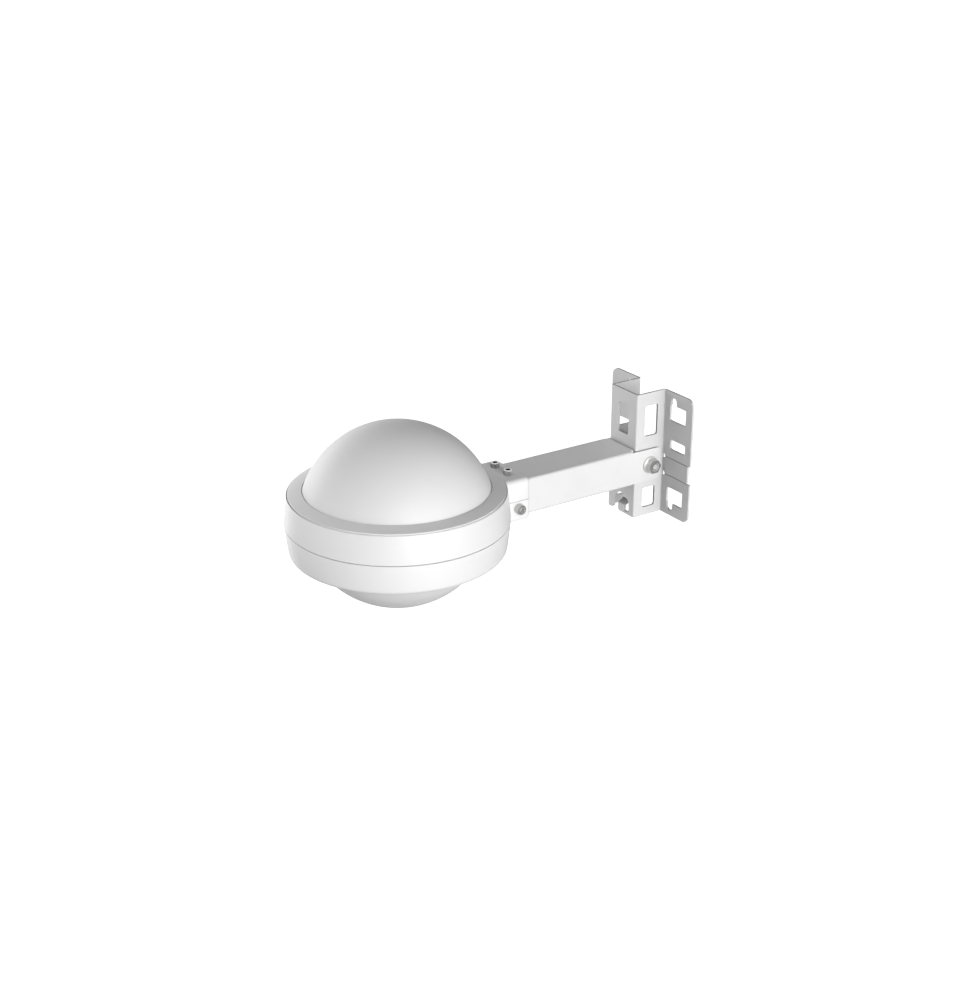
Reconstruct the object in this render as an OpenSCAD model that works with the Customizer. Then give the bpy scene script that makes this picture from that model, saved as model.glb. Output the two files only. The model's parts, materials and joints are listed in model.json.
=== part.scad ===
// Double-dome outdoor radio antenna unit on a levelling arm and a folded wall bracket.
// Millimetres. +Z up, +Y towards the wall, the wall plane is y = 0.
// z = 0 is the split line of the housing; the arm pivot lies just below it.

/* [Radome] */
// Outer radius of the upper dome sphere
top_dome_r = 92.1; // [91.7:0.1:92.4]
// Height of the upper sphere's centre above the housing split
top_dome_zc = 0; // [-0.2:0.1:0.2]
// Outer radius of the lower dome sphere
low_dome_r = 91.5; // [91.2:0.1:91.8]
// Height of the lower sphere's centre above the housing split
low_dome_zc = 9.5; // [9.3:0.1:9.7]
// Wall thickness of both domes
dome_t = 2.5; // [2:0.25:3]

/* [Housing] */
// Distance from the wall plane to the dome axis
dome_y = 297.7; // [290:0.1:330]
// Outer radius of the housing at the split line
body_r = 104.8; // [104.6:0.1:106]
// Outer radius of the housing beside its end rings
rim_r = 101.7; // [101.6:0.1:101.9]
// Wall thickness of the housing
body_t = 3.2; // [2.8:0.1:3.4]
// Height of the upper ring's inner lip
ring_in_z = 31.6; // [31.4:0.1:31.8]
// Height of the upper ring's outer edge
ring_out_z = 29.1; // [28.9:0.1:29.3]
// Depth of the lower ring's flat face below the split
floor_z = 29.6; // [29.4:0.1:29.8]

/* [Neck] */
// Half width of the neck block that takes the arm
neck_hw = 29.3; // [29:0.1:30]
// Height of the neck block's top face
neck_top = 21.5; // [21.2:0.1:22.5]
// Depth of the neck block's lower face
neck_bot = 20.2; // [20:0.1:21]
// Distance of the neck block's end face from the wall plane
neck_end = 168; // [167:0.2:170]
// Edge radius of the neck block
neck_r = 5; // [4:0.5:6]

/* [Arm] */
// Outside width of the arm's box section
arm_w = 47.3; // [47.1:0.1:47.5]
// Outside height of the arm's box section
arm_h = 36.3; // [36:0.1:36.4]
// Sheet thickness of the arm
arm_t = 2.3; // [2:0.1:2.3]
// Height of the box section's centre line
arm_zc = -0.45; // [-0.5:0.05:-0.3]
// Distance of the arm's rear end plates from the wall plane
arm_end = 38.5; // [38.4:0.1:40]
// Distance of the arm's front end from the wall plane
arm_front = 192; // [188:1:192]
// Height of the two ears at the pivot
ear_h = 33.2; // [30:0.2:33.4]
// Distance of the ears' round ends from the wall plane
ear_end = 6.6; // [6.6:0.2:9]

/* [Pivot] */
// Distance of the pivot bolt from the wall plane
pivot_y = 19.4; // [19:0.1:20]
// Height of the pivot bolt below the housing split
pivot_z = -0.6; // [-0.8:0.1:0]
// Radius of the pivot bolt's shank
bolt_r = 4; // [3.98:0.01:4]
// Radius of the bolt holes in the ears and the channel
bolt_hole_r = 4.05; // [4.05:0.01:4.08]

/* [Bracket] */
// Outside width of the channel
chan_w = 42; // [41.4:0.1:42]
// Depth of the channel from the wall plane to its front face
chan_d = 36.7; // [36.4:0.1:36.8]
// Sheet thickness of the bracket
sheet_t = 2.2; // [2:0.1:2.4]
// Half width over the two wings
wing_x = 63.7; // [62:0.1:66]
// Top edge of the bracket above the pivot
br_top = 74.8; // [74:0.2:80]
// Bottom edge of the bracket below the pivot
br_bot = 55.3; // [55:0.1:56]
// Half width of the bracket at the middle tabs
tab_x = 60.3; // [58:0.1:61]

/* [Hidden] */
$fn = 96;

br_zc = (br_top - br_bot) / 2;          // middle of the bracket's height
arm_hw = arm_w / 2;
top_scr_x = 11;                         // neck top screws, from the centre plane
neck_scr_y = 182.4;                     // neck screws, from the wall plane
side_scr_z = -7;                      // neck side screws, height
hs_r = 93.6;                            // pitch radius of the housing screw bosses
hs_a = [0, 60, 120, 180, 240, 300];
ch_a = [40, 140, 220, 320];             // chassis fixing bosses
cl_r = 96.4;                            // pitch radius of the clamp ring screws
cl_a = [20, 80, 160, 200, 260, 340];
plate_a = [25, 95, 155, 215, 265, 325]; // board standoffs

function arc_pts(cx, cy, r, a0, a1, n) =
  [for (i = [0:n]) [cx + r * cos(a0 + (a1 - a0) * i / n), cy + r * sin(a0 + (a1 - a0) * i / n)]];
// rounded rectangle outline from one corner to the other
function rrect(x0, y0, x1, y1, r, n = 5) = concat(
  arc_pts(x1 - r, y1 - r, r, 0, 90, n), arc_pts(x0 + r, y1 - r, r, 90, 180, n),
  arc_pts(x0 + r, y0 + r, r, 180, 270, n), arc_pts(x1 - r, y0 + r, r, 270, 360, n));
function sph_r(R, dz) = sqrt(R * R - dz * dz);
// housing wall radius at a height, outside face
function wall_r(z) = body_r - (body_r - rim_r) * min(1, abs(z) / (ring_out_z - 1.4));

module at_dome() { translate([0, -dome_y, 0]) children(); }
module ring_of(r, angles) { for (a = angles) rotate([0, 0, a]) translate([r, 0, 0]) rotate([0, 0, -a]) children(); }
// 2D shapes drawn in X-Z, extruded along Y from y0 to y1
module xz_prism(y0, y1) { translate([0, y1, 0]) rotate([90, 0, 0]) linear_extrude(y1 - y0) children(); }
// 2D shapes drawn in Y-Z, extruded along X from x0 to x1
module yz_prism(x0, x1) { translate([x0, 0, 0]) rotate([90, 0, 90]) linear_extrude(x1 - x0) children(); }
module cap_screw(head_r, head_h, sock_af, r, len) {
  difference() {
    union() {
      cylinder(r = head_r, h = head_h);
      translate([0, 0, -len]) cylinder(r = r, h = len);
    }
    translate([0, 0, head_h * 0.45]) rotate([0, 0, 30]) cylinder(r = sock_af / sqrt(3), h = head_h, $fn = 6);
  }
}
module pan_screw(head_r, head_h, r, len) {
  difference() {
    union() {
      cylinder(r = head_r, h = head_h);
      translate([0, 0, -len]) cylinder(r = r, h = len);
    }
    translate([0, 0, head_h * 0.5]) cylinder(r = head_r * 0.45, h = head_h, $fn = 6);
  }
}

// ---- domes -------------------------------------------------------------
module dome_profile(R, z_base, flange_t, flange_r) {
  intersection() {
    difference() { circle(r = R, $fn = 180); circle(r = R - dome_t, $fn = 180); }
    translate([0, z_base]) square([R + 2, R + 2]);
  }
  translate([sph_r(R, z_base + flange_t) - dome_t, z_base])
    square([flange_r - sph_r(R, z_base + flange_t) + dome_t, flange_t]);
}
module radome_top() color("whitesmoke") at_dome() translate([0, 0, top_dome_zc])
  rotate_extrude($fn = 180) dome_profile(top_dome_r, 22, 3, 93.6);
module radome_bottom() color("gainsboro") at_dome() translate([0, 0, low_dome_zc])
  mirror([0, 0, 1]) rotate_extrude($fn = 180) dome_profile(low_dome_r, 29.5, 3, 88.7);

module dome_seal_top() color("dimgray") at_dome()
  translate([0, 0, 26.5]) rotate_extrude($fn = 180) translate([91.9, 0]) circle(r = 1.5, $fn = 24);
module dome_seal_bottom() color("dimgray") at_dome()
  translate([0, 0, -24.5]) rotate_extrude($fn = 180) translate([87.2, 0]) circle(r = 1.5, $fn = 24);

// ---- housing -----------------------------------------------------------
module upper_profile() {
  polygon([[body_r - 0.5, 0], [body_r, 0.5], [wall_r(20), 20], [rim_r, ring_out_z - 1.4],
    [rim_r - 0.5, ring_out_z - 0.5], [rim_r - 1.6, ring_out_z], [87.2, ring_in_z],
    [88.35, 28.05], [95.6, 28.05], [98.2, 25.6], [wall_r(20) - body_t, 20], [body_r - body_t, 0]]);
}
module upper_inner() {
  polygon([[0, -1], [body_r - body_t, -1], [body_r - body_t, 0], [wall_r(20) - body_t, 20], [98.2, 25.6],
    [95.6, 28.05], [88.35, 28.05], [87.2, ring_in_z], [87.2, ring_in_z + 5], [0, ring_in_z + 5]]);
}
module lower_profile() {
  polygon([[body_r - 0.5, 0], [body_r, -0.5], [wall_r(-20), -20], [rim_r + 0.1, -26],
    [rim_r - 0.5, -28], [rim_r - 1.4, -29], [rim_r - 3, -floor_z], [83.5, -floor_z],
    [84.9, -26.05], [97.0, -26.05], [98.6, -24.5], [wall_r(-20) - body_t, -20], [body_r - body_t, 0],
    [102.4, 0], [102.4, -1.6], [103.8, -1.6], [103.8, 0]]);
}
module lower_inner() {
  polygon([[0, 1], [body_r - body_t, 1], [body_r - body_t, 0], [wall_r(-20) - body_t, -20], [98.6, -24.5],
    [97.0, -26.05], [84.9, -26.05], [83.5, -floor_z], [83.5, -floor_z - 5], [0, -floor_z - 5]]);
}
// round-edged block, above the split
module neck_block_up() {
  hull() {
    for (s = [-1, 1]) {
      translate([s * (neck_hw - neck_r), -neck_end - neck_r, neck_top - neck_r]) sphere(r = neck_r, $fn = 32);
      translate([s * (neck_hw - neck_r), -neck_end - neck_r, 0]) cylinder(r = neck_r, h = 1, $fn = 32);
      translate([s * (neck_hw - neck_r), -neck_end - 32, neck_top - neck_r]) rotate([90, 0, 0]) cylinder(r = neck_r, h = 2, $fn = 32);
      translate([s * (neck_hw - 1) - 1, -neck_end - 34, 0]) cube([2, 2, 1]);
    }
  }
}
module neck_block_low() {
  hull() {
    for (s = [-1, 1]) {
      translate([s * (neck_hw - neck_r), -neck_end - neck_r, -neck_bot + 2]) cylinder(r = neck_r, h = neck_bot - 2, $fn = 32);
      translate([s * (neck_hw - neck_r), -neck_end - neck_r, -neck_bot]) cylinder(r = neck_r - 1.6, h = 3, $fn = 32);
      translate([s * (neck_hw - 2.6) - 1, -neck_end - 34, -neck_bot]) cube([2, 2, 3]);
      translate([s * (neck_hw - 1) - 1, -neck_end - 34, -neck_bot + 2]) cube([2, 2, neck_bot - 2]);
    }
  }
}
// the space the arm slides into, kept clear of the round housing wall
module neck_socket() {
  difference() {
    translate([-arm_hw - 0.2, -neck_end - 32, arm_zc - arm_h / 2 - 0.2])
      cube([arm_w + 0.4, 40, arm_h + 0.4]);
    at_dome() translate([0, 0, -30]) cylinder(r = body_r, h = 60, $fn = 180);
  }
}
module boss_web(r, z0, z1, w) {
  translate([0, -w / 2, z0]) cube([r, w, z1 - z0]);
}
module upper_housing() color("white") difference() {
  union() {
    difference() {
      union() {
        at_dome() rotate_extrude($fn = 180) upper_profile();
        difference() {
          neck_block_up();
          at_dome() translate([0, 0, -0.01]) cylinder(r1 = body_r - 0.6, r2 = wall_r(22) - 1.2, h = 22.01, $fn = 180);
        }
      }
      at_dome() rotate_extrude($fn = 180) upper_inner();
      neck_socket();
    }
    // bosses for the housing screws, webbed to the wall
    intersection() {
      at_dome() for (a = hs_a) rotate([0, 0, a]) translate([hs_r, 0, 0]) {
        cylinder(r = 4, h = 16);
        translate([0, -2, 0]) cube([8.6, 4, 16]);
      }
      at_dome() cylinder(r = body_r - 1.5, h = 17, $fn = 180);
    }
    // bosses for the clamp ring screws
    intersection() {
      at_dome() for (a = cl_a) rotate([0, 0, a]) translate([cl_r, 0, 22.05]) {
        cylinder(r = 2.4, h = 6.4, $fn = 24);
        translate([0, -2.2, 0]) cube([4, 4.4, 6.4]);
      }
      at_dome() cylinder(r = rim_r - 2, h = 28.4, $fn = 180);
    }
  }
  at_dome() ring_of(hs_r, hs_a) translate([0, 0, -1]) cylinder(r = 2.05, h = 14, $fn = 32);
  at_dome() ring_of(cl_r, cl_a) translate([0, 0, 21]) cylinder(r = 1.3, h = 6, $fn = 24);
  // cable grommet seat, half of it
  translate([0, -dome_y + 90, 0]) rotate([-90, 0, 0]) cylinder(r = 8, h = 18);
  for (s = [-1, 1]) translate([s * top_scr_x, -neck_scr_y, 10]) cylinder(r = 2.75, h = 20, $fn = 48);
}
module lower_housing() color("white") difference() {
  union() {
    difference() {
      union() {
        at_dome() rotate_extrude($fn = 180) lower_profile();
        difference() {
          neck_block_low();
          at_dome() translate([0, 0, -22]) cylinder(r1 = wall_r(22) - 1.2, r2 = body_r - 0.6, h = 22.01, $fn = 180);
        }
      }
      at_dome() rotate_extrude($fn = 180) lower_inner();
      neck_socket();
    }
    intersection() {
      at_dome() union() {
        for (a = hs_a) rotate([0, 0, a]) translate([hs_r, 0, -26.5]) {
          cylinder(r = 4.6, h = 8);
          cylinder(r = 4, h = 26.5);
          translate([0, -2, 0]) cube([8.6, 4, 26.5]);
        }
        for (a = ch_a) rotate([0, 0, a]) translate([hs_r, 0, -26.5]) {
          cylinder(r = 4, h = 24.3);
          translate([0, -2, 0]) cube([8.6, 4, 24.3]);
        }
      }
      at_dome() translate([0, 0, -28]) cylinder(r = rim_r - 1, h = 28, $fn = 180);
    }
    intersection() {
      at_dome() for (a = cl_a) rotate([0, 0, a]) translate([cl_r, 0, -26.5]) {
        cylinder(r = 2.4, h = 6.45, $fn = 24);
        translate([0, -2.2, 0]) cube([4, 4.4, 6.45]);
      }
      at_dome() translate([0, 0, -28]) cylinder(r = rim_r - 2, h = 28, $fn = 180);
    }
  }
  at_dome() ring_of(hs_r, hs_a) {
    translate([0, 0, -31]) cylinder(r = 2.2, h = 32, $fn = 32);
    translate([0, 0, -31]) cylinder(r = 3.8, h = 7, $fn = 32);
  }
  at_dome() ring_of(hs_r, ch_a) translate([0, 0, -14]) cylinder(r = 1.55, h = 13, $fn = 24);
  at_dome() ring_of(cl_r, cl_a) translate([0, 0, -25.5]) cylinder(r = 1.3, h = 6, $fn = 24);
  translate([0, -dome_y + 90, 0]) rotate([-90, 0, 0]) cylinder(r = 8, h = 18);
  // seat of the pressure vent
  at_dome() rotate([0, 0, -90]) translate([91.5, 0, -31]) cylinder(r = 3.05, h = 8, $fn = 48);
  for (s = [-1, 1]) translate([s * 10, -neck_scr_y, side_scr_z]) rotate([0, s * 90, 0]) cylinder(r = 3.25, h = 24, $fn = 48);
}
module housing_gasket() color("dimgray") difference() {
  at_dome() translate([0, 0, -1.6]) difference() {
    cylinder(r = 103.75, h = 1.6, $fn = 180);
    translate([0, 0, -1]) cylinder(r = 102.45, h = 4, $fn = 180);
  }
  translate([0, -dome_y + 90, 0]) rotate([-90, 0, 0]) cylinder(r = 8.1, h = 18);
}
module housing_screws() color("silver") at_dome() ring_of(hs_r, hs_a)
  translate([0, 0, -24]) mirror([0, 0, 1]) pan_screw(3.5, 2.6, 2, 35);
module vent_plug() color("dimgray") at_dome() rotate([0, 0, -90]) translate([91.5, 0, 0]) {
  translate([0, 0, -30.6]) cylinder(r = 4.4, h = 1, $fn = 48);
  translate([0, 0, -29.7]) cylinder(r = 3, h = 3.5, $fn = 48);
}

// ---- clamp rings that hold the domes -------------------------------------
module clamp_ring_top() color("lightgray") at_dome() difference() {
  translate([0, 0, 19]) cylinder(r = 98.3, h = 2.95, $fn = 180);
  translate([0, 0, 18]) cylinder(r = 85, h = 6, $fn = 180);
  ring_of(cl_r, cl_a) translate([0, 0, 18]) cylinder(r = 1.65, h = 6, $fn = 24);
}
module clamp_ring_bottom() color("lightgray") at_dome() difference() {
  translate([0, 0, -19.95]) cylinder(r = 98.3, h = 2.95, $fn = 180);
  translate([0, 0, -21]) cylinder(r = 81, h = 6, $fn = 180);
  ring_of(cl_r, cl_a) translate([0, 0, -21]) cylinder(r = 1.65, h = 6, $fn = 24);
  for (a = concat(hs_a, ch_a)) rotate([0, 0, a]) translate([hs_r, 0, -21]) {
    cylinder(r = 4.9, h = 6);
    translate([0, -4.9, 0]) cube([8, 9.8, 6]);
  }
}
module clamp_ring_screws() color("silver") at_dome() ring_of(cl_r, cl_a) {
  translate([0, 0, 19]) mirror([0, 0, 1]) pan_screw(2.4, 1.8, 1.25, 7.5);
  translate([0, 0, -17]) pan_screw(2.4, 1.8, 1.25, 7.5);
}

// ---- electronics -------------------------------------------------------
module chassis_plate() color("silver") at_dome() difference() {
  union() {
    translate([0, 0, -2.15]) cylinder(r = 88, h = 3.5, $fn = 180);
    for (a = ch_a) rotate([0, 0, a]) {
      translate([hs_r, 0, -2.15]) cylinder(r = 4.2, h = 3.5, $fn = 48);
      translate([84, -4.2, -2.15]) cube([hs_r - 84, 8.4, 3.5]);
    }
    // stiffening ribs under the plate
    for (a = [0:45:179]) rotate([0, 0, a]) translate([-60, -1, -4.15]) cube([120, 2, 2.2]);
  }
  ring_of(hs_r, ch_a) translate([0, 0, -5]) cylinder(r = 1.75, h = 8, $fn = 24);
  ring_of(76, plate_a) translate([0, 0, -5]) cylinder(r = 1.3, h = 8, $fn = 24);
}
module chassis_screws() color("silver") at_dome() ring_of(hs_r, ch_a)
  translate([0, 0, 1.35]) pan_screw(2.9, 2, 1.5, 14);
module heat_spreader() color("silver") at_dome() translate([-22, -22, 1.35]) cube([44, 44, 4.65]);
module thermal_pad() color("lightblue") at_dome() translate([-20, -20, 6]) cube([40, 40, 1]);
module main_board() color("seagreen") at_dome() difference() {
  translate([0, 0, 7]) cylinder(r = 81, h = 1.6, $fn = 180);
  ring_of(76, plate_a) translate([0, 0, 6]) cylinder(r = 1.6, h = 4, $fn = 24);
}
module shield_cans() color("silver") at_dome() {
  translate([-30, -46, 8.6]) cube([38, 24, 3]);
  translate([14, -44, 8.6]) cube([18, 30, 3]);
  translate([-24, -16, 8.6]) cube([34, 30, 3]);
}
module network_jack() color("silver") at_dome() difference() {
  translate([-8, 49, 8.6]) cube([16, 21, 13.5]);
  translate([-6, 59, 10.6]) cube([12, 13, 8.5]);
}
module board_standoffs() color("gold") at_dome() ring_of(76, plate_a) difference() {
  translate([0, 0, 1.35]) cylinder(r = 2.9, h = 5.65, $fn = 6);
  translate([0, 0, 0]) cylinder(r = 1.3, h = 9, $fn = 24);
}
module board_screws() color("silver") at_dome() ring_of(76, plate_a)
  translate([0, 0, 8.6]) pan_screw(2.6, 1.7, 1.25, 9);
module upper_reflector() color("silver") at_dome() difference() {
  translate([0, 0, 26]) cylinder(r = 70, h = 1, $fn = 180);
  ring_of(52, [45, 135, 225, 315]) translate([0, 0, 25]) cylinder(r = 1.6, h = 4, $fn = 24);
}
module reflector_posts() color("ivory") at_dome() ring_of(52, [45, 135, 225, 315]) {
  translate([0, 0, 8.6]) cylinder(r = 3, h = 17.4, $fn = 6);
  translate([0, 0, 25.9]) cylinder(r = 1.5, h = 3, $fn = 24);
}
// four bent-sheet radiators round the axis
module upper_antennas() color("gold") at_dome() for (a = [0, 90, 180, 270]) rotate([0, 0, a]) translate([40, 0, 27]) {
  translate([-0.4, -16, 0]) cube([0.8, 32, 26]);
  translate([-10, -16, 25.2]) cube([10, 32, 0.8]);
  translate([0, -3, 0]) cube([8, 6, 0.8]);
}
module lower_antenna_board() color("seagreen") at_dome() difference() {
  translate([0, 0, -15.6]) cylinder(r = 64, h = 1.6, $fn = 180);
  ring_of(58, [22.5, 112.5, 202.5, 292.5]) translate([0, 0, -17]) cylinder(r = 1.6, h = 4, $fn = 24);
}
module lower_board_posts() color("ivory") at_dome() ring_of(58, [22.5, 112.5, 202.5, 292.5]) {
  translate([0, 0, -14]) cylinder(r = 3, h = 11.85, $fn = 6);
  translate([0, 0, -16.8]) cylinder(r = 1.5, h = 3, $fn = 24);
}
module lower_antennas() color("gold") at_dome() for (a = [45, 135, 225, 315]) rotate([0, 0, a]) translate([36, 0, -21.6]) {
  translate([-13, -13, 0]) cube([26, 26, 0.8]);
  translate([-1.5, -1.5, 0.7]) cube([3, 3, 5.3]);
}
// rubber grommet in the housing wall, where the lead enters from the arm
module cable_grommet() color("dimgray") translate([0, -dome_y, 0]) rotate([-90, 0, 0]) difference() {
  union() {
    translate([0, 0, 98.2]) cylinder(r = 10, h = 2, $fn = 64);
    translate([0, 0, 98.3]) cylinder(r = 7.95, h = 8.3, $fn = 64);
    translate([0, 0, 104.9]) cylinder(r = 10, h = 1.8, $fn = 64);
  }
  translate([0, 0, 95]) cylinder(r = 3, h = 16, $fn = 48);
}

// ---- arm ---------------------------------------------------------------
module neck_top_screws() color("silver") for (s = [-1, 1])
  translate([s * top_scr_x, -neck_scr_y, neck_top]) cap_screw(4.3, 5, 4, 2.5, 12.5);
module neck_side_screws() color("silver") for (s = [-1, 1])
  translate([s * neck_hw, -neck_scr_y, side_scr_z]) rotate([0, s * 90, 0]) cap_screw(5, 6, 5, 3, 14.5);
module arm_section() {
  difference() {
    polygon(rrect(-arm_hw, arm_zc - arm_h / 2, arm_hw, arm_zc + arm_h / 2, 2.6));
    polygon(rrect(-arm_hw + arm_t, arm_zc - arm_h / 2 + arm_t, arm_hw - arm_t, arm_zc + arm_h / 2 - arm_t, 0.5, 2));
  }
}
module arm_tube() color("white") difference() {
  union() {
    xz_prism(-arm_front, -arm_end) arm_section();
    for (s = [-1, 1]) yz_prism(s > 0 ? arm_hw - arm_t : -arm_hw, s > 0 ? arm_hw : -arm_hw + arm_t)
      polygon(rrect(-arm_end - 8, arm_zc - ear_h / 2, -ear_end, arm_zc + ear_h / 2, 5));
  }
  // relief notches where the end plates stop
  for (s = [-1, 1], t = [-1, 1]) translate([s * (arm_hw - 1.4) - 2.4, -arm_end - 3.2, arm_zc + t * (arm_h / 2 - 0.2) - 1.4]) cube([4.8, 5, 2.8]);
  translate([-30, -pivot_y, pivot_z]) rotate([0, 90, 0]) cylinder(r = bolt_hole_r, h = 60, $fn = 64);
  for (s = [-1, 1]) {
    translate([s * top_scr_x, -neck_scr_y, 10]) cylinder(r = 2.75, h = 12, $fn = 48);
    translate([s * 15, -neck_scr_y, side_scr_z]) rotate([0, s * 90, 0]) cylinder(r = 3.25, h = 12, $fn = 48);
  }
}
// clinch nuts fixed inside the arm's front end
module arm_nuts() color("silver") for (s = [-1, 1]) {
  translate([s * top_scr_x, -neck_scr_y, arm_zc + arm_h / 2 - arm_t - 5]) difference() {
    cylinder(r = 4.6, h = 5, $fn = 6);
    translate([0, 0, -1]) cylinder(r = 2.55, h = 8, $fn = 48);
  }
  translate([s * (arm_hw - arm_t), -neck_scr_y, side_scr_z]) rotate([0, -s * 90, 0]) difference() {
    cylinder(r = 5.5, h = 5.5, $fn = 6);
    translate([0, 0, -1]) cylinder(r = 3.05, h = 8, $fn = 48);
  }
}

// ---- pivot -------------------------------------------------------------
// hexagon with a conical flange, flange at z = 0
module flange_hex(af, h, rf) {
  cylinder(r = rf, h = 1.2, $fn = 64);
  translate([0, 0, 1.2]) cylinder(r1 = rf - 0.6, r2 = af / 2 - 0.3, h = 1.6, $fn = 64);
  rotate([0, 0, 30]) translate([0, 0, 1]) cylinder(r = af / sqrt(3), h = h - 1, $fn = 6);
}
module pivot_bolt() color("silver") translate([0, -pivot_y, pivot_z]) {
  translate([-arm_hw - 0.1, 0, 0]) rotate([0, -90, 0]) flange_hex(13, 7.5, 8.95);
  translate([-arm_hw - 0.5, 0, 0]) rotate([0, 90, 0]) cylinder(r = bolt_r, h = 2 * arm_hw + 9.3, $fn = 64);
}
module pivot_nut() color("silver") translate([arm_hw + 0.1, -pivot_y, pivot_z]) rotate([0, 90, 0]) difference() {
  flange_hex(13, 8, 8.95);
  translate([0, 0, -1]) cylinder(r = bolt_r + 0.02, h = 12, $fn = 64);
}

// ---- wall bracket --------------------------------------------------------
module wing_2d() {
  r = 8.5;
  difference() {
    polygon(concat([[chan_w / 2 - 1, -br_bot]], arc_pts(wing_x - r, -br_bot + r, r, 270, 360, 6),
      arc_pts(wing_x - r, br_top - r, r, 0, 90, 6), [[chan_w / 2 - 1, br_top]]));
    // key slots: a square-cornered window that narrows to a round-ended slot
    for (s = [0, 1]) translate([0, br_zc]) mirror([0, s]) {
      polygon(rrect(30, 35.4, 54, 51.9, 1));
      translate([31, 45]) square([8.4, 10.4]);
      translate([35.2, 55.4]) circle(r = 4.2, $fn = 48);
    }
    // strap slot
    polygon(rrect(32, br_zc + 5.5, 54.9, br_zc + 15.6, 2.2));
    // slits that free the middle tab, which stops short of the wing's end
    difference() {
      translate([chan_w / 2, -13.5]) square([60, 19.2]);
      polygon(concat([[chan_w / 2 - 2, -12.8]], arc_pts(tab_x - 1.5, -11.3, 1.5, 270, 360, 4),
        arc_pts(tab_x - 1.5, 3.5, 1.5, 0, 90, 4), [[chan_w / 2 - 2, 5]]));
    }
    // bend reliefs beside the channel
    for (z = [5.5, -13.3]) polygon(concat([[chan_w / 2, z - 2.9]], arc_pts(chan_w / 2 + 1.4, z, 2.9, 270, 450, 10), [[chan_w / 2, z + 2.9]]));
  }
}
module channel_2d() {
  hw = chan_w / 2;
  t = sheet_t;
  polygon(concat([[hw, 0]], arc_pts(hw - 1.6, -chan_d + 1.6, 1.6, 0, -90, 5),
    arc_pts(-hw + 1.6, -chan_d + 1.6, 1.6, -90, -180, 5), [[-hw, 0], [-hw + t, 0], [-hw + t, -chan_d + t],
    [hw - t, -chan_d + t], [hw - t, 0]]));
}
// the folded channel with its slots, before the wings
module channel_cut() difference() {
  translate([0, 0, -br_bot]) linear_extrude(br_top + br_bot) channel_2d();
  // strap slots through the channel's front and side faces
  xz_prism(-chan_d - 1, -chan_d + sheet_t + 1) polygon(rrect(-8.3, 29.6, 8.3, 61.4, 2));
  yz_prism(-30, 30) polygon(rrect(-26.1, 29.6, -10.5, 61.6, 2));
  yz_prism(-30, 30) polygon(rrect(-26.1, -46.6, -10.5, -25.5, 2));
  // lead-through behind the arm
  translate([0, -chan_d + 4, 0]) rotate([90, 0, 0]) cylinder(r = 11, h = 6, $fn = 64);
  // pivot holes
  translate([-30, -pivot_y, pivot_z]) rotate([0, 90, 0]) cylinder(r = bolt_hole_r, h = 60, $fn = 64);
  // hook window in the lower front face
  xz_prism(-chan_d - 1, -chan_d + sheet_t + 1) hook_window_2d();
}
module wall_bracket() color("white") union() {
  channel_cut();
  // bent tab at the tip of the hook finger
  yz_prism(-4.1, 5.8) polygon([[-chan_d, -49], [-34.6, -49], [-34.6, -47.8], [-28.8, -44.5], [-29.9, -42.6], [-chan_d, -46.5]]);
  for (s = [0, 1]) mirror([s, 0, 0]) {
    xz_prism(-sheet_t, 0) wing_2d();
  }
}
// arched window with a finger standing in it and a mouth open at the bottom edge
module hook_window_2d() {
  translate([1, 0]) polygon(concat([[-15.1, -60], [-3.4, -60]], arc_pts(-2.5, -52.6, 2.6, 250, 180, 4),
    [[-5.1, -46.5], [4.8, -46.5], [4.8, -52.4], [12.1, -52.4]],
    arc_pts(0, -46.4, 12.1, 0, 180, 16), arc_pts(-15.7, -51.5, 3.6, 0, -80, 5)));
}

radome_top();
radome_bottom();
upper_housing();
lower_housing();
dome_seal_top();
dome_seal_bottom();
clamp_ring_top();
clamp_ring_bottom();
clamp_ring_screws();
housing_gasket();
housing_screws();
chassis_plate();
chassis_screws();
heat_spreader();
thermal_pad();
main_board();
shield_cans();
network_jack();
board_standoffs();
board_screws();
upper_reflector();
reflector_posts();
upper_antennas();
lower_antenna_board();
lower_board_posts();
lower_antennas();
cable_grommet();
vent_plug();
neck_top_screws();
neck_side_screws();
arm_tube();
arm_nuts();
pivot_bolt();
pivot_nut();
wall_bracket();
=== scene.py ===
import json
import math

import bmesh
import bpy
import numpy as np
from mathutils import Matrix, Vector


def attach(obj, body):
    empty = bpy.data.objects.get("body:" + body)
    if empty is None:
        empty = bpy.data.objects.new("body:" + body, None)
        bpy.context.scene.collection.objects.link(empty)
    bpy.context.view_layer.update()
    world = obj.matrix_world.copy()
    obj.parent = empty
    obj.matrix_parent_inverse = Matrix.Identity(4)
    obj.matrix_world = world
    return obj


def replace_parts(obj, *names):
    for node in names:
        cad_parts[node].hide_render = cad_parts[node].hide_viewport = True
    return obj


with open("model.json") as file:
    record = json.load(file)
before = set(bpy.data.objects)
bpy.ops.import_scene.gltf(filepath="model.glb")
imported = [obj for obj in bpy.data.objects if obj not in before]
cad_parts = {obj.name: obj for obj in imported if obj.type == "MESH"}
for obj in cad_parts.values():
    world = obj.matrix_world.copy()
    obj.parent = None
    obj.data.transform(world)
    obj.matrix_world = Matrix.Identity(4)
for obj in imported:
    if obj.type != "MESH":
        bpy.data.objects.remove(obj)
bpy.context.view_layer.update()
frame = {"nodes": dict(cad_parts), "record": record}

NODES = frame["nodes"]
MM = 0.001
DOME_Y = -297.7  # dome axis, mm from the wall plane
PIVOT_Y, PIVOT_Z = -19.4, -0.6
scene = bpy.context.scene


# ---------------------------------------------------------------- mesh tools
def link(ob):
    scene.collection.objects.link(ob)
    return ob


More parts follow.
